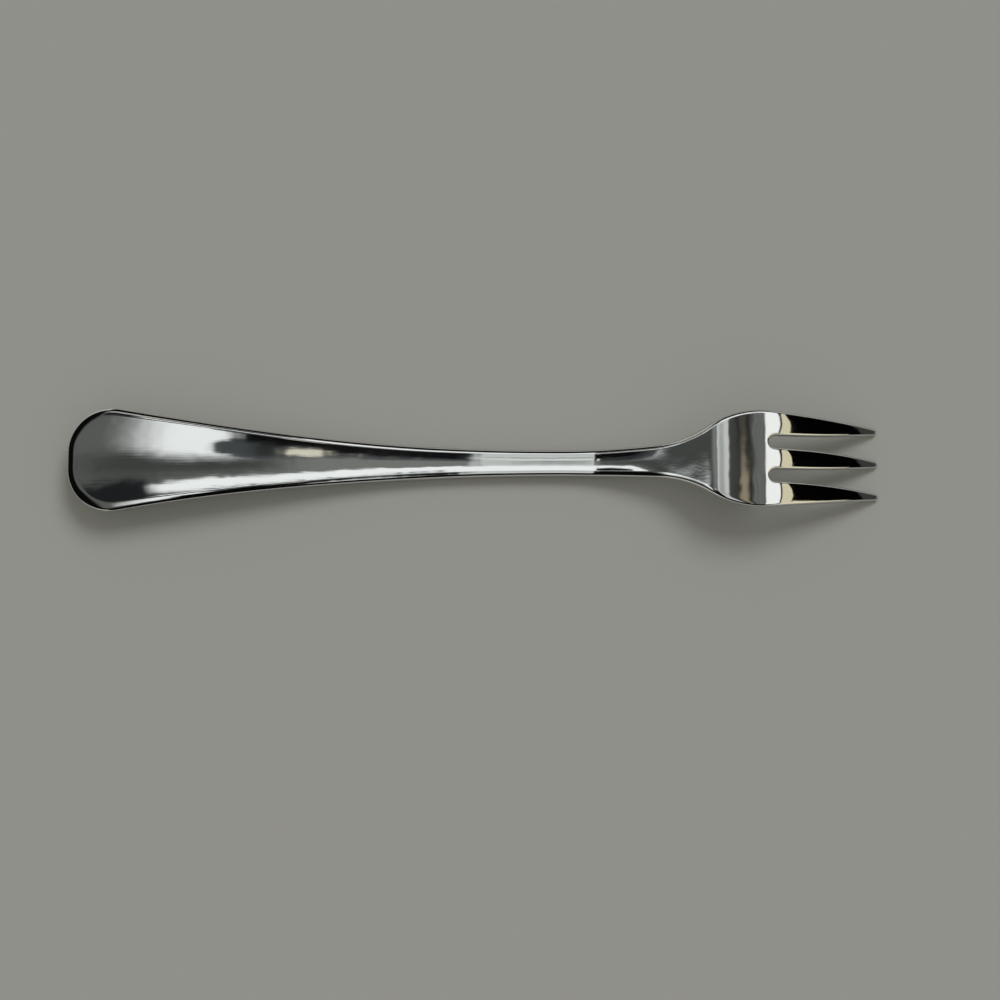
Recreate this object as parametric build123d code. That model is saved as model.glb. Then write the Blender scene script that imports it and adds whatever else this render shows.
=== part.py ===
from build123d import *
import math
import os

os.makedirs("parts", exist_ok=True)

# An oyster fork lying on its front, back up, with +X towards the tines and +Y across it.
# It is drawn from the end of the handle, then moved so that the origin lies under its middle.

# Lengths along the strip, one after another from the end of the handle.
handle_length = 84.0
stem_length = 17.0
flare_length = 8.6
shoulder_length = 3.8
crest_length = 5.4
tine_reach = 21.2

# Widths across the strip where those lengths meet.
handle_width = 17.8
end_corner_radius = 7.5
neck_width = 4.5
throat_width = 5.64
flare_width = 11.4
head_width = 16.6
tine_spread = 12.5

# The two slots that part the tines.
slot_length = 20.0
slot_width = 2.1
slot_mouth = 4.7
slot_offset = 2.88

# The side view: how high the back lies at each place along the middle of the strip.
end_height = 4.95
dish_length = 8.0
dish_height = 5.4
grip_length = 24.0
grip_height = 5.25
rest_length = 55.0
rest_height = 2.4
neck_height = 2.7
throat_height = 4.9
flare_height = 8.1
shoulder_height = 8.8
crest_height = 8.9
bend_length = 6.0
bend_height = 7.6
tip_height = 0.81
end_slope_angle = 4.0
tip_slope_angle = 24.0

# The strip is rolled thickest just before the neck and thins towards both ends.
handle_thickness = 1.5
rest_thickness = 2.25
neck_thickness = 2.0
throat_thickness = 2.1
head_thickness = 1.8
tip_thickness = 1.0

# The hollow pressed along the back of the handle, by its radius across the strip.
dish_trough_radius = 52.0
grip_trough_radius = 33.0
rest_trough_radius = 12.5
neck_trough_radius = 7.0

# Edges rounded by tumbling, and the corners of the blunt tips.
rim_radius = 0.5
tine_rim_radius = 0.3
tip_corner_radius = 0.4

# Where the handle gives way to the neck.
neck_start = 70.0

neck_x = handle_length
throat_x = neck_x + stem_length
flare_x = throat_x + flare_length
shoulder_x = flare_x + shoulder_length
crest_x = shoulder_x + crest_length
tip_x = crest_x + tine_reach
slot_x = tip_x - slot_length
tine_x = slot_x + slot_width / 2

# Spare stock on every side of the fork, for cutting.
clear_width = 2 * max(handle_width, head_width)
clear_height = 4 * crest_height
overrun = handle_thickness


def handle_side():
    """One side of the handle: a round corner that runs into one long arc down to the neck."""
    flat = handle_width / 2 - end_corner_radius
    along = neck_x - end_corner_radius
    across = neck_width / 2 - flat
    reach = along**2 + across**2 - end_corner_radius**2
    side_radius = reach / (2 * (end_corner_radius - across))
    turn = math.atan2(across + side_radius, along)
    meet_x = end_corner_radius * (1 + math.cos(turn))
    meet_y = flat + end_corner_radius * math.sin(turn)
    end = Line((0, 0), (0, flat))
    corner = TangentArc((0, flat), (meet_x, meet_y), tangent=(0, 1))
    side = TangentArc((meet_x, meet_y), (neck_x, neck_width / 2), tangent=corner % 1)
    return [end, corner, side]


def head_side():
    """One side of the head: arcs out from the neck, over the shoulder and along the outer tine."""
    places = [
        (throat_x, throat_width / 2),
        (flare_x, flare_width / 2),
        (slot_x, head_width / 2),
        (tip_x, tine_spread / 2),
    ]
    start = Vector(neck_x, neck_width / 2)
    heading = Vector(1, 0)
    arcs = []
    for place in places:
        arc = TangentArc(start, place, tangent=heading)
        start = arc @ 1
        heading = arc % 1
        arcs.append(arc)
    return arcs + [Line(start, (tip_x, 0))]


def slot():
    """One slot in plan: a round root, then two arcs that open towards the tips."""
    half = slot_width / 2
    upper = TangentArc((tine_x, half), (tip_x, slot_mouth / 2), tangent=(1, 0))
    lower = mirror(upper, Plane.XZ)
    root = ThreePointArc((tine_x, half), (slot_x, 0), (tine_x, -half))
    return make_face([upper, Line(upper @ 1, lower @ 1), lower, root])


def blank():
    """The plan of the flat strip with its slots, the corners of its tips still sharp."""
    side = Curve() + handle_side() + head_side()
    plan = make_face(side + mirror(side, Plane.XZ))
    for across in (slot_offset, -slot_offset):
        plan -= Pos(0, across) * slot()
    return plan


def side_view(across):
    """The strip cut lengthwise, the given distance off its middle, where the trough is higher."""
    dish = 1 / dish_trough_radius
    grip = 1 / grip_trough_radius
    rest = 1 / rest_trough_radius
    neck = 1 / neck_trough_radius
    end_drop = overrun * math.tan(math.radians(end_slope_angle))
    tip_drop = overrun * math.tan(math.radians(tip_slope_angle))
    places = [
        (-overrun, end_height - end_drop, handle_thickness, dish),
        (0, end_height, handle_thickness, dish),
        (dish_length, dish_height, handle_thickness, dish),
        (grip_length, grip_height, handle_thickness, grip),
        (rest_length, rest_height, rest_thickness, rest),
        (neck_x, neck_height, neck_thickness, neck),
        (throat_x, throat_height, throat_thickness, neck / 2),
        (flare_x, flare_height, head_thickness, 0),
        (shoulder_x, shoulder_height, head_thickness, 0),
        (crest_x, crest_height, head_thickness, 0),
        (crest_x + bend_length, bend_height, head_thickness, 0),
        (tip_x, tip_height, tip_thickness, 0),
        (tip_x + overrun, tip_height - tip_drop, tip_thickness, 0),
    ]
    back = []
    front = []
    for x, height, thickness, curvature in places:
        lifted = height + curvature * across**2 / 2
        back.append((x, lifted))
        front.append((x, lifted - thickness))
    along = [x for x, lifted in back]
    lines = [Edge.make_spline(points, parameters=along) for points in (back, front)]
    ends = [Line(back[0], front[0]), Line(back[-1], front[-1])]
    return make_face(lines + ends)


def sheet():
    """The bent and dished strip before it is cut to its plan, wider than the fork."""
    edge = clear_width / 2
    return loft([Plane.XZ.offset(-across) * side_view(across) for across in (-edge, 0, edge)])


def strip():
    """The sheet cut to the plan of the fork, its edges still sharp."""
    cutter = extrude(Pos(0, 0, -clear_height / 2) * blank(), clear_height)
    return cutter & sheet()


def stretch(start, end):
    """A cutting block over the stretch of the strip between two places."""
    return Pos((start + end) / 2, 0, 0) * Box(end - start, clear_width, clear_height)


# The low point under the handle and the tips of the tines carry the fork.
drawn_fork = strip()
low_point = (drawn_fork & stretch(0, neck_start)).bounding_box().min.Z
placing = Pos(-tip_x / 2, 0, -low_point)
sharp_fork = placing * drawn_fork
joints = [place - tip_x / 2 for place in (neck_start, throat_x, tine_x)]
tolerance = tine_rim_radius / 100


def at_joint(edge):
    """Whether an edge lies in a flat cross-wise face where two stretches of the fork meet."""
    places = [edge @ 0, edge.center(), edge @ 1]
    gaps = [max(abs(place.X - joint) for place in places) for joint in joints]
    return min(gaps) < tolerance


def region(start, end):
    """The stretch of the fork between two places, its edges still sharp."""
    return sharp_fork & placing * stretch(start, end)


def tumbled(piece, radius):
    """A stretch of the fork with its rims rounded and the faces where it meets others left flat."""
    rims = piece.edges().filter_by(Axis.Z, reverse=True).filter_by(at_joint, reverse=True)
    return fillet(rims, radius)


sharp_tines = region(tine_x, tip_x)
tip_corners = sharp_tines.edges().filter_by(Axis.Z).group_by(Axis.X)[-1]
round_tines = fillet(tip_corners, tip_corner_radius)
tines = tumbled(round_tines, tine_rim_radius).solids().sort_by(Axis.Y)
regions = {
    "handle": tumbled(region(0, neck_start), rim_radius),
    "neck": tumbled(region(neck_start, throat_x), rim_radius),
    "head": tumbled(region(throat_x, tine_x), rim_radius),
    "tine_right": tines[0],
    "tine_middle": tines[1],
    "tine_left": tines[2],
}
for name, solid in regions.items():
    export_step(solid, f"parts/{name}.step")
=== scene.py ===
import math

import bpy
import numpy as np
from mathutils import Matrix


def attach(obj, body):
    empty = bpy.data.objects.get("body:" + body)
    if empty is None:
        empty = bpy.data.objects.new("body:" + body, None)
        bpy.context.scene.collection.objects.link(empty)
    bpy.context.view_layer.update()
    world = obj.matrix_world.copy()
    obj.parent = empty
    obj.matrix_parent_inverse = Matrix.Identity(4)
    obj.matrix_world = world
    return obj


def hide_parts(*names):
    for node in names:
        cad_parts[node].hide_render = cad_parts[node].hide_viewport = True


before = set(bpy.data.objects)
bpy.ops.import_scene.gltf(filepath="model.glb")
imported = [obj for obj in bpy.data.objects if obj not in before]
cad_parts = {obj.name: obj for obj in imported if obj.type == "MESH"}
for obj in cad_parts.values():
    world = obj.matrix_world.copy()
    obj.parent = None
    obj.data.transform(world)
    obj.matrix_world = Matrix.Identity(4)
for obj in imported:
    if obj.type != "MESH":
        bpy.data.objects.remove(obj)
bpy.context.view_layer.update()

# The fork: one strip of stainless steel, blanked to its outline with two slots, rolled thinner
# towards both ends, pressed hollow along the back of the handle, bent at the head, tumbled and
# polished. It lies on its front, so its back faces up. Sizes are in millimetres.
MILLIMETRE = 0.001
handle_length, stem_length, flare_length = 84.0, 17.0, 8.6
slot_start, fork_length = 120.0, 140.0
handle_width, end_corner_radius = 17.8, 7.5
neck_width, throat_width, flare_width, head_width, tine_spread = 4.5, 5.64, 11.4, 16.6, 12.5
slot_width, slot_mouth, slot_offset = 2.1, 4.7, 2.88
tine_pitch, crown_curvature, crown_run = 5.9, 0.07, 4.0
bend_run, bend_steps = 2.0, 40
trough_end, trough_fade = 105.0, 10.0

throat = handle_length + stem_length
flare = throat + flare_length
slot_radius = slot_width / 2
tine_start = slot_start + slot_radius


def curve_through(knots, place):
    """Height of a natural cubic spline through knots, pairs of place and height: its second
    derivatives at the knots solve the tridiagonal system that makes its slope continuous."""
    at, height = np.array(knots, float).T
    gap = np.diff(at)
    rise = np.diff(height) / gap
    system = np.eye(len(at))
    inner = np.arange(1, len(at) - 1)
    system[inner, inner - 1] = gap[:-1]
    system[inner, inner] = 2 * (gap[:-1] + gap[1:])
    system[inner, inner + 1] = gap[1:]
    bend = np.linalg.solve(system, np.concatenate([[0], 6 * np.diff(rise), [0]]))
    span = np.clip(np.searchsorted(at, place) - 1, 0, len(gap) - 1)
    left, right = place - at[span], at[span + 1] - place
    cubic = (bend[span] * right**3 + bend[span + 1] * left**3) / (6 * gap[span])
    start = (height[span] / gap[span] - bend[span] * gap[span] / 6) * right
    end = (height[span + 1] / gap[span] - bend[span + 1] * gap[span] / 6) * left
    return cubic + start + end


def back_height(along):
    """Height of the middle of the fork's back over its start: the slopes that the strip was bent
    to, in degrees, straight between the bends and smoothed over a short run, then summed up."""
    bends = [
        (-10, 5.5),
        (0, 3.5),
        (8, 1.8),
        (16, -0.3),
        (24, -2.7),
        (33, -5.1),
        (43, -5.7),
        (51, -4.3),
        (58, -2.2),
        (65, -0.1),
        (71, -0.2),
        (80, 0.4),
        (86, 1.6),
        (90.2, 3.8),
        (91.6, 11.2),
        (95, 12.2),
        (99, 14.2),
        (105, 21.4),
        (108.9, 22.5),
        (113, 2.5),
        (115, 0.9),
        (118.8, -1.8),
        (124, -18.3),
        (129, -21.9),
        (134, -24.5),
        (140, -33.0),
        (150, -40.0),
    ]
    fine = np.arange(-bend_run * 2, fork_length + bend_run * 2, bend_run / bend_steps)
    slope = np.interp(fine, *np.array(bends, float).T)
    window = np.hanning(bend_steps + 1)
    slope = np.convolve(slope, window / window.sum(), "same")
    height = np.cumsum(np.tan(np.radians(slope))) * (fine[1] - fine[0])
    return np.interp(along, fine, height)


def strip_thickness(along):
    """Thickness of the rolled strip: a spline, thickest just before the neck."""
    knots = [
        (0, 1.5),
        (24, 1.5),
        (50, 2.0),
        (66, 2.3),
        (84, 2.2),
        (101, 2.1),
        (112, 1.8),
        (125, 1.8),
        (136, 1.2),
        (fork_length, 0.7),
    ]
    return curve_through(knots, along)


def trough_curvature(along):
    """One over the radius of the hollow across the back: a spline, times a smooth step that
    fades it out as the neck starts to flare."""
    knots = [
        (0, 0.015),
        (8, 0.02),
        (24, 0.03),
        (50, 0.06),
        (75, 0.14),
        (90, 0.14),
        (101, 0.07),
        (110, 0.03),
    ]
    fade = np.clip((trough_end - along) / trough_fade, 0, 1)
    return curve_through(knots, np.minimum(along, flare)) * fade**2 * (3 - 2 * fade)


def tine_crown(plan):
    """How far the rounded back of a tine falls off beside its middle: a parabola across each
    tine that sets in where the slots start."""
    off_middle = np.abs(plan[:, 1])
    off_middle = np.minimum(off_middle, np.abs(off_middle - tine_pitch))
    sets_in = np.clip((plan[:, 0] - slot_start) / crown_run, 0, 1)
    return crown_curvature * sets_in * off_middle**2 / 2


def arc_run(start, heading, end, count):
    """Points on the arc that leaves start along heading and ends at end, and its headings: a
    chord turned by half the arc's turn, its length following the sine of that turn."""
    chord = np.subtract(end, start)
    turn = math.atan2(chord[1], chord[0]) - heading
    part = np.linspace(0, 1, count)
    reach = np.hypot(*chord) * np.sin(turn * part) / math.sin(turn)
    towards = heading + turn * part
    points = start + reach[:, None] * np.stack([np.cos(towards), np.sin(towards)], 1)
    return points, heading + 2 * turn * part


def half_outline(count):
    """One side of the outline from the end of the handle to the tips, as a chain of arcs that
    run into each other: corner, long side, throat, flare, head and outer tine."""
    flat = handle_width / 2 - end_corner_radius
    drop = neck_width / 2 - flat
    length = handle_length - end_corner_radius
    side_radius = (length**2 + drop**2 - end_corner_radius**2) / (2 * (end_corner_radius - drop))
    meet = math.atan2(drop + side_radius, length)
    places = [
        (end_corner_radius * (1 + math.cos(meet)), flat + end_corner_radius * math.sin(meet)),
        (handle_length, neck_width / 2),
        (throat, throat_width / 2),
        (flare, flare_width / 2),
        (slot_start, head_width / 2),
        (fork_length, tine_spread / 2),
    ]
    points, headings = [np.array([[0.0, flat]])], [np.array([math.pi / 2])]
    for place in places:
        run, turned = arc_run(points[-1][-1], headings[-1][-1], place, count)
        points.append(run[1:])
        headings.append(turned[1:])
    return np.concatenate(points), np.concatenate(headings)


arc_points = 400
outline, outline_heading = half_outline(arc_points)
outline_path = np.concatenate([[0], np.cumsum(np.hypot(*np.diff(outline, axis=0).T))])


def outer_edge(path):
    """Points of the outline at these distances along it, and the directions out of the steel."""
    at = np.stack([np.interp(path, outline_path, outline[:, axis]) for axis in (0, 1)], 1)
    heading = np.interp(path, outline_path, outline_heading)
    return at, np.stack([-np.sin(heading), np.cos(heading)], 1)


def slot_edge(along):
    """Half width of a slot past its round root, and its edge's heading: an arc from the root's
    width to the mouth's that starts straight ahead."""
    run, widening = fork_length - tine_start, (slot_mouth - slot_width) / 2
    radius = (run**2 + widening**2) / (2 * widening)
    ahead = along - tine_start
    return slot_radius + radius - np.sqrt(radius**2 - ahead**2), np.arcsin(ahead / radius)


def rim_width(along):
    """How far the rounded rim reaches in from the outline: a spline, widest at the end of the
    handle."""
    knots = [
        (0, 1.7),
        (5, 1.5),
        (16, 1.1),
        (50, 1.0),
        (84, 0.9),
        (110, 0.8),
        (121, 0.5),
        (fork_length, 0.36),
    ]
    return curve_through(knots, along)


def inset(edge, outward):
    """Points of an edge moved in by the width of its rim."""
    return edge - rim_width(edge[:, 0])[:, None] * outward


def across(first, last, count):
    """Rows of points from first to last, evenly spaced, as a grid of rows by columns."""
    part = np.linspace(0, 1, count + 1)[None, :, None]
    return first[:, None] * (1 - part) + last[:, None] * part


mirrored = np.array([1.0, -1.0])

# Cells of the grid over the plan: rows run across the fork, columns along it. Over a short lead
# before the slots the rows bend round their roots. The rim goes down in steps, and each of its
# rounded quarters takes a share of the thickness.
handle_rows, root_rows, tine_rows = 280, 8, 46
outer_columns, slot_columns, middle_columns = 12, 12, 12
rim_steps, rim_share = 16, 0.28
root_lead = 2.5


def tine_tip(upper, lower, columns):
    """The round end of one tine between the ends of its two edges: a half circle, and the
    directions out of it."""
    centre, half = (upper + lower) / 2, (upper - lower) / 2
    turn = np.pi * (0.5 - np.linspace(0, 1, columns + 1))
    outward = np.stack([np.cos(turn), np.sin(turn)], 1)
    return centre + np.hypot(*half) * outward, outward


def fork_plan():
    """The plan inside the rims as a grid of rows and columns of points, and the step from each
    point on its border out to the outline. Slots are left as nan.

    Rows before the slots share the outline's width out in fixed parts. Past them each tine's
    rows run from edge to edge, and the slots' roots and the tips are half circles."""
    columns = [outer_columns, slot_columns, middle_columns, slot_columns, outer_columns]
    marks = np.cumsum([0] + columns)
    outer, slot, middle = [slice(marks[part], marks[part + 1] + 1) for part in range(3)]
    width = marks[-1] + 1
    grid = np.full((handle_rows + root_rows + tine_rows + 1, width, 2), np.nan)
    step = np.zeros_like(grid)

    root_at = np.array([tine_start, slot_offset])
    root_turn = np.pi * (0.5 + np.linspace(0, 1, slot_columns + 1))
    root_out = -np.stack([np.cos(root_turn), np.sin(root_turn)], 1)
    root_edge = root_at - slot_radius * root_out
    root = inset(root_edge, root_out)

    lead = slot_start - root_lead
    lead_path, root_path = np.interp([lead, tine_start], outline[:, 0], outline_path)
    border, outward = outer_edge(np.linspace(0, lead_path, handle_rows + 1))
    inner = inset(border, outward)
    across_root = np.concatenate([
        np.linspace(inner[-1, 1], root[0, 1], outer_columns + 1)[:-1],
        root[:, 1],
        np.linspace(root[-1, 1], -root[-1, 1], middle_columns + 1)[1:-1],
        -root[::-1, 1],
        -np.linspace(root[0, 1], inner[-1, 1], outer_columns + 1)[1:],
    ])
    rows = slice(0, handle_rows + 1)
    grid[rows, :, 0] = inner[:, :1]
    grid[rows, :, 1] = inner[:, 1:] * across_root / inner[-1, 1]
    step[rows, 0] = border - inner
    step[0, :] = border[0] - inner[0]

    rows = slice(handle_rows, handle_rows + root_rows + 1)
    border, outward = outer_edge(np.linspace(lead_path, root_path, root_rows + 1))
    inner = inset(border, outward)
    start = grid[handle_rows]
    part = np.linspace(0, 1, root_rows + 1)[:, None, None]
    middle_end = np.stack([np.full(middle_columns + 1, tine_start), start[middle, 1]], 1)
    grid[rows, slot] = start[slot] * (1 - part) + root * part
    grid[rows, middle] = start[middle] * (1 - part) + middle_end * part
    grid[rows, outer] = across(inner, grid[rows, slot][:, 0], outer_columns)
    step[rows, 0] = border - inner
    step[rows.stop - 1, slot] = root_edge - root

    rows = slice(handle_rows + root_rows, handle_rows + root_rows + tine_rows)
    tip_lead = (fork_length - tine_start) / tine_rows
    along = np.linspace(tine_start, fork_length - tip_lead, tine_rows)
    border, outward = outer_edge(np.interp(along, outline[:, 0], outline_path))
    half, heading = slot_edge(along)
    into_slot = np.stack([np.sin(heading), -np.cos(heading)], 1)
    slot_left = np.stack([along, slot_offset + half], 1)
    slot_right = np.stack([along, slot_offset - half], 1)
    edges = [(border, outward), (slot_left, into_slot), (slot_right, into_slot * mirrored)]
    inner = [inset(*edge) for edge in edges]
    grid[rows, outer] = across(inner[0], inner[1], outer_columns)
    grid[rows, middle] = across(inner[2], inner[2] * mirrored, middle_columns)
    for column, edge, moved in zip(marks[:3], edges, inner):
        step[rows, column] = edge[0] - moved

    for tine, upper, lower in (
        (outer, border, slot_left),
        (middle, slot_right, slot_right * mirrored),
    ):
        tip, outward = tine_tip(upper[-1], lower[-1], tine.stop - tine.start - 1)
        grid[-1, tine] = inset(tip, outward)
        step[-1, tine] = tip - grid[-1, tine]

    far = width // 2
    grid[:, -far:] = grid[:, far - 1 :: -1] * mirrored
    step[:, -far:] = step[:, far - 1 :: -1] * mirrored
    return grid, step


def fork_surface():
    """Points and faces of the whole fork: its back and its front over the same plan, joined by a
    rim whose section is a quarter of an ellipse, an upright wall and another quarter.

    On the handle the rim starts out level, which leaves a soft crease round the hollow."""
    grid, step = fork_plan()
    there = ~np.isnan(grid[..., 0])
    number = np.full(there.shape, -1)
    number[there] = np.arange(there.sum())
    corners = [number[:-1, :-1], number[1:, :-1], number[1:, 1:], number[:-1, 1:]]
    cells = np.stack(corners, -1).reshape(-1, 4)
    cells = cells[(cells >= 0).all(1)]
    plan, out = grid[there], step[there]
    lift = trough_curvature(plan[:, 0]) * plan[:, 1] ** 2 / 2 - tine_crown(plan)

    sides = np.stack([cells, np.roll(cells, -1, axis=1)], -1).reshape(-1, 2)
    key = np.sort(sides, axis=1) @ [len(plan), 1]
    first, uses = np.unique(key, return_index=True, return_counts=True)[1:]
    border = sides[first[uses == 1]]

    turn = np.linspace(0, np.pi / 2, rim_steps // 2 + 1)
    reach = np.concatenate([np.sin(turn), np.sin(turn[::-1])])
    drop = rim_share * (1 - np.cos(turn))
    depth = np.concatenate([drop, 1 - drop[::-1]])
    follow = np.clip((plan[:, 0] - throat) / (flare - throat), 0, 1)
    rings = []
    for sideways, downwards in zip(reach, depth):
        place = plan + out * sideways
        along = plan[:, 0] + (place[:, 0] - plan[:, 0]) * follow
        height = back_height(along) + lift - downwards * strip_thickness(along)
        rings.append(np.column_stack([place[:, 0] - fork_length / 2, place[:, 1], height]))
    rim = np.unique(border)
    points = np.concatenate([rings[0], rings[-1]] + [ring[rim] for ring in rings[1:-1]])
    ring_number = np.zeros((len(rings), len(plan)), int)
    ring_number[0] = np.arange(len(plan))
    ring_number[-1] = ring_number[0] + len(plan)
    ring_number[1:-1, rim] = np.arange(2 * len(plan), len(points)).reshape(-1, len(rim))
    upper, lower = ring_number[:-1], ring_number[1:]
    start, end = border.T
    corners = [upper[:, end], upper[:, start], lower[:, start], lower[:, end]]
    walls = np.stack(corners, -1).reshape(-1, 4)
    points[:, 2] -= points[:, 2].min()
    return points * MILLIMETRE, np.concatenate([cells, cells[:, ::-1] + len(plan), walls])


points, faces = fork_surface()
fork_mesh = bpy.data.meshes.new("fork")
fork_mesh.from_pydata(points.tolist(), [], faces.tolist())
fork_mesh.polygons.foreach_set("use_smooth", np.ones(len(faces), bool))
fork_mesh.update()
fork = bpy.data.objects.new("fork", fork_mesh)
bpy.context.collection.objects.link(fork)


def linear(hex_colour):
    """A colour written as sRGB hex, as the linear values that a shader takes."""
    tone = np.array([int(hex_colour[start : start + 2], 16) for start in (1, 3, 5)]) / 255
    return (*np.where(tone > 0.04045, ((tone + 0.055) / 1.055) ** 2.4, tone / 12.92), 1.0)


def add(tree, kind, settings=(), values=(), links=()):
    """Adds a node with its settings, the values of its sockets and the links into them."""
    node = tree.nodes.new(kind)
    for name, value in dict(settings).items():
        setattr(node, name, value)
    for socket, value in dict(values).items():
        node.inputs[socket].default_value = value
    for socket, source in dict(links).items():
        tree.links.new(source, node.inputs[socket])
    return node


# Polished 18/10 stainless steel: a soft mirror with a slight warm cast. Buffing leaves the back
# faintly wavy, and use leaves fine scratches, most of them along the fork.
steel = bpy.data.materials.new("polished_stainless_steel")
steel.use_nodes = True
tree = steel.node_tree
tree.nodes.clear()
wave_size, wave_depth = 3.5, 0.027
scratch_length, scratch_width, scratch_depth = 12.0, 0.35, 0.003
haze_size, clear_roughness, hazy_roughness = 14.0, 0.03, 0.08
place = add(tree, "ShaderNodeTexCoord").outputs["Object"]
stretch = add(
    tree,
    "ShaderNodeMapping",
    values={"Scale": (scratch_width / scratch_length, 1, 1)},
    links={"Vector": place},
)
waves = add(
    tree,
    "ShaderNodeTexNoise",
    values={"Scale": 1 / (wave_size * MILLIMETRE), "Detail": 1.0},
    links={"Vector": place},
)
scratches = add(
    tree,
    "ShaderNodeTexNoise",
    values={"Scale": 1 / (scratch_width * MILLIMETRE), "Detail": 2.0},
    links={"Vector": stretch.outputs["Vector"]},
)
haze = add(
    tree,
    "ShaderNodeTexNoise",
    values={"Scale": 1 / (haze_size * MILLIMETRE), "Detail": 4.0, "Roughness": 0.6},
    links={"Vector": place},
)
wavy = add(
    tree,
    "ShaderNodeBump",
    values={"Strength": 1.0, "Distance": wave_depth * MILLIMETRE},
    links={"Height": waves.outputs["Fac"]},
)
scratched = add(
    tree,
    "ShaderNodeBump",
    values={"Strength": 1.0, "Distance": scratch_depth * MILLIMETRE},
    links={"Height": scratches.outputs["Fac"], "Normal": wavy.outputs["Normal"]},
)
dull = add(
    tree,
    "ShaderNodeMapRange",
    values={"From Min": 0.3, "From Max": 0.7, "To Min": clear_roughness, "To Max": hazy_roughness},
    links={"Value": haze.outputs["Fac"]},
)
shader = add(
    tree,
    "ShaderNodeBsdfPrincipled",
    values={"Metallic": 1.0, "Base Color": linear("#D4D4D1")},
    links={"Roughness": dull.outputs["Result"], "Normal": scratched.outputs["Normal"]},
)
add(tree, "ShaderNodeOutputMaterial", links={"Surface": shader.outputs["BSDF"]})
fork_mesh.materials.append(steel)
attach(fork, "root")
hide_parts("handle", "neck", "head", "tine_left", "tine_middle", "tine_right")

# The floor: a plain table top of board painted a pale grey, smooth and matt, that the fork
# lies on. It runs so far out on every side, in metres, that no edge of it shows.
floor_half = 30.0
floor_mesh = bpy.data.meshes.new("floor")
corners = np.array([(-1, -1, 0), (1, -1, 0), (1, 1, 0), (-1, 1, 0)]) * floor_half
floor_mesh.from_pydata(corners.tolist(), [], [(0, 1, 2, 3)])
floor = bpy.data.objects.new("floor", floor_mesh)
bpy.context.collection.objects.link(floor)

# Matt paint, rolled on: one even tone with no shine.
table_top = bpy.data.materials.new("matt_table_top")
table_top.use_nodes = True
tree = table_top.node_tree
tree.nodes.clear()
shader = add(
    tree,
    "ShaderNodeBsdfPrincipled",
    values={"Base Color": linear("#CACAC6"), "Roughness": 0.9, "Specular IOR Level": 0.0},
)
add(tree, "ShaderNodeOutputMaterial", links={"Surface": shader.outputs["BSDF"]})
floor_mesh.materials.append(table_top)

# The light: a soft studio. A flat tent of light and dark cloth panels hangs over the fork and
# shows only as its mirror image in the steel. All else gets an even light and one soft lamp.
tent_height, tent_half = 150.0, 1000.0
tent_mesh = bpy.data.meshes.new("tent")
corners = np.array([(-1, -1, 0), (-1, 1, 0), (1, 1, 0), (1, -1, 0)]) * tent_half
tent_mesh.from_pydata((corners * MILLIMETRE).tolist(), [], [(0, 1, 2, 3)])
tent = bpy.data.objects.new("tent", tent_mesh)
tent.location.z = tent_height * MILLIMETRE
tent.visible_camera = False
tent.visible_diffuse = False
tent.visible_shadow = False
bpy.context.collection.objects.link(tent)

# Tent cloth, white, grey and black, sewn into panels and lit from behind: it glows evenly, and
# soft creases make the edges of the panels wander.
cloth = bpy.data.materials.new("tent_cloth")
cloth.use_nodes = True
tree = cloth.node_tree
tree.nodes.clear()
crease_size, crease_depth, tent_strength = 30.0, 7.0, 1.3
spot = add(tree, "ShaderNodeTexCoord").outputs["Object"]
creases = add(
    tree,
    "ShaderNodeTexNoise",
    values={"Scale": 1 / (crease_size * MILLIMETRE), "Detail": 3.0},
    links={"Vector": spot},
)
shift = add(
    tree,
    "ShaderNodeVectorMath",
    {"operation": "SUBTRACT"},
    {1: (0.5, 0.5, 0.5)},
    {0: creases.outputs["Color"]},
)
spot = add(
    tree,
    "ShaderNodeVectorMath",
    {"operation": "MULTIPLY_ADD"},
    {1: (crease_depth * MILLIMETRE, crease_depth * MILLIMETRE, 0)},
    {0: shift.outputs[0], 2: spot},
).outputs[0]


def panel(room, colour, x, y, blur):
    """The tent with one more panel on it, given as low, high and the reach of its round corners
    in X and Y: its mask falls from one to nought where the way into the corner passes its reach,
    sooner and later by the blur."""
    (left, near), (right, back), corner = np.array([x, y], float).T * MILLIMETRE
    centre = ((left + right) / 2, (near + back) / 2, 0)
    straight = ((right - left) / 2 - corner[0], (back - near) / 2 - corner[1], 1)
    way = spot
    for operation, vector in (
        ("SUBTRACT", centre),
        ("ABSOLUTE", None),
        ("SUBTRACT", straight),
        ("MAXIMUM", (0, 0, 0)),
        ("DIVIDE", (*corner, 1)),
    ):
        settings = {"operation": operation}
        values = {1: vector} if vector else {}
        way = add(tree, "ShaderNodeVectorMath", settings, values, {0: way}).outputs[0]
    length = add(tree, "ShaderNodeVectorMath", {"operation": "LENGTH"}, links={0: way})
    ramp = {"From Min": 1 - blur, "From Max": 1 + blur, "To Min": 1.0, "To Max": 0.0}
    settings = {"interpolation_type": "SMOOTHSTEP"}
    mask = add(tree, "ShaderNodeMapRange", settings, ramp, {"Value": length.outputs["Value"]})
    mix = add(
        tree,
        "ShaderNodeMix",
        {"data_type": "RGBA"},
        {7: linear(colour)},
        {6: room, "Factor": mask.outputs["Result"]},
    )
    return mix.outputs[2]


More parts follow.
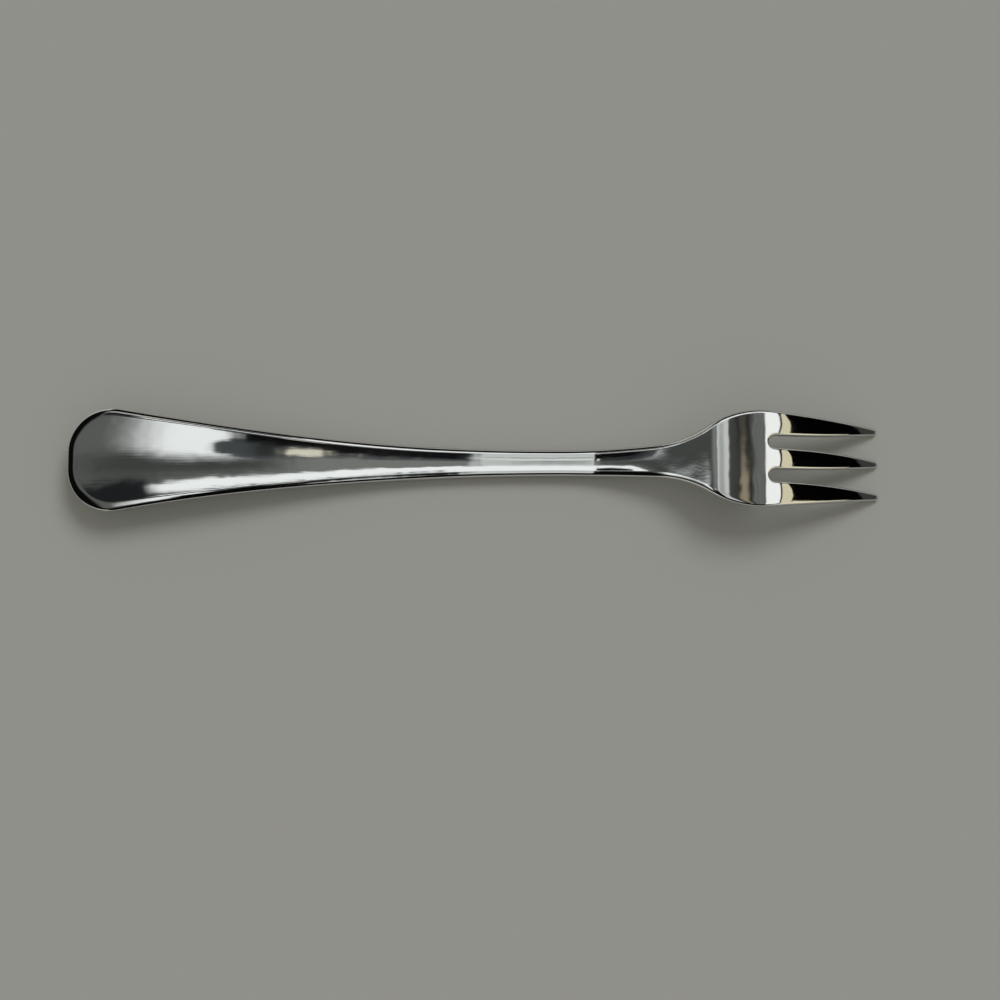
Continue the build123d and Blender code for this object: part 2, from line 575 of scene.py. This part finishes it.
room = add(tree, "ShaderNodeRGB")
room.outputs[0].default_value = linear("#B4B4B1")
room = room.outputs[0]
for colour, *shape in (
    # The unlit studio at the tent's sides, the grey past the tips, and black cloth over it all.
    ("#0A0A0A", (-560, -120, 40), (-200, 170, 40), 0.5),
    ("#0A0A0A", (-140, 160, 10), (-460, -70, 10), 0.5),
    ("#0A0A0A", (-130, 190, 10), (108, 460, 10), 0.5),
    ("#3A3B39", (250, 900, 60), (-260, 240, 60), 0.9),
    ("#020202", (-130, 465, 280), (-140, 125, 125), 0.06),
    # Seen from the handle: its greys, bright patch, dark edge and cream glint.
    ("#5C5E5C", (-132, 60, 14), (-72, 62, 10), 0.8),
    ("#3F4341", (-116, -20, 24), (17, 36, 8), 0.9),
    ("#1E2022", (-126, -82, 10), (39, 80, 8), 0.8),
    ("#F2F6F8", (-88, -32, 22), (-50, 18, 10), 0.9),
    ("#43474A", (-52, 10, 26), (-11, 19, 14), 0.1),
    ("#26292A", (-32, -16, 7), (-8, 14, 8), 0.8),
    ("#080808", (-43, 1, 12), (-85, -4, 8), 0.5),
    ("#080808", (-62, -20, 12), (-85, -17, 4), 0.5),
    ("#101111", (-12, 1, 4), (-85, 3, 6), 0.8),
    ("#DAD6C6", (-21, -9.6, 3), (-1, 11, 5), 0.4),
    ("#777977", (-20, 1, 10), (13, 44, 6), 0.9),
    # Seen from the neck: its pale band, with streaks along it.
    ("#C6CACA", (0, 46, 5), (-90, 44, 6), 0.6),
    ("#A0A4A4", (9, 30, 10), (2, 34, 14), 0.9),
    ("#8E9292", (5, 44, 8), (-17, -11, 3), 0.9),
    ("#E4E8E8", (3, 26, 8), (-5, 1, 3), 0.9),
    ("#7E8282", (11, 40, 8), (7, 12, 3), 0.9),
    # Seen from the head: stripes across its flat.
    ("#3E403F", (46.5, 88, 6), (-90, 54, 12), 0.4),
    ("#5C5E5C", (70, 94, 5), (-90, 54, 12), 0.8),
    ("#211F1B", (57, 70.5, 2.5), (-90, 50, 9), 0.7),
    ("#47453E", (60, 66.3, 2), (-90, 50, 9), 0.8),
    ("#968B7A", (60.4, 66, 2.4), (-90, 22.5, 9), 0.8),
    ("#777977", (73, 74.2, 0.6), (-90, 46, 9), 0.9),
    ("#777977", (77, 78.2, 0.6), (-90, 46, 9), 0.9),
    ("#777977", (81, 82.2, 0.6), (-90, 46, 9), 0.9),
    # Seen from the tines: white and cream where they start, cream along their edges.
    ("#FAFCFC", (89, 142, 12), (-90, 70, 40), 0.15),
    ("#D6CFB4", (149, 197, 30), (-110, 80, 75), 0.04),
    ("#E2DABE", (180, 350, 40), (-260, -14, 12), 0.3),
    # Seen from the lower side of the handle and the neck: one long white strip.
    ("#F6FAFC", (-84, 4, 14), (45, 62, 5), 0.4),
    ("#F6FAFC", (-9, 146, 6), (44, 100, 10), 0.5),
):
    room = panel(room, colour, *shape)
glow = add(tree, "ShaderNodeEmission", values={"Strength": tent_strength}, links={"Color": room})
add(tree, "ShaderNodeOutputMaterial", links={"Surface": glow.outputs[0]})
tent_mesh.materials.append(cloth)

# The even light has the tone that the lit floor gets, so that no horizon shows behind it.
world = bpy.data.worlds.new("studio")
bpy.context.scene.world = world
world.use_nodes = True
tree = world.node_tree
tree.nodes.clear()
even_light = add(
    tree,
    "ShaderNodeBackground",
    values={"Color": linear("#90908A"), "Strength": 1.0},
)
add(tree, "ShaderNodeOutputWorld", links={"Surface": even_light.outputs[0]})

# The soft lamp stands off the fork's left side, towards the tines, and gives the shadow.
lamp_data = bpy.data.lights.new("soft_lamp", "SUN")
lamp_data.angle = 0.5
lamp_data.energy = 0.82
lamp = bpy.data.objects.new("soft_lamp", lamp_data)
lamp.location = (0.25, 0.45, 0.58)
lamp.rotation_euler = (-lamp.location).to_track_quat("-Z", "Y").to_euler()
lamp.visible_glossy = False
lamp.visible_camera = False
bpy.context.collection.objects.link(lamp)

# The camera: above the fork, a little towards its right side, as it was photographed.
camera_distance, camera_tilt, lens = 0.321, math.radians(8.4), 66.25
aim = np.array([0.0042, -0.0062, 0.0])
eye = camera_distance * np.array([0, -math.sin(camera_tilt), math.cos(camera_tilt)])
backward = (eye - aim) / np.linalg.norm(eye - aim)
right = np.cross([0, 1, 0], backward)
right /= np.linalg.norm(right)
upward = np.cross(backward, right)
camera_data = bpy.data.cameras.new("camera")
camera_data.lens = lens
camera_data.clip_start = 0.01
camera = bpy.data.objects.new("camera", camera_data)
camera.location = eye
camera.rotation_euler = Matrix(np.stack([right, upward, backward], 1)).to_euler()
bpy.context.collection.objects.link(camera)
bpy.context.scene.camera = camera
bpy.context.scene.view_settings.view_transform = "Standard"
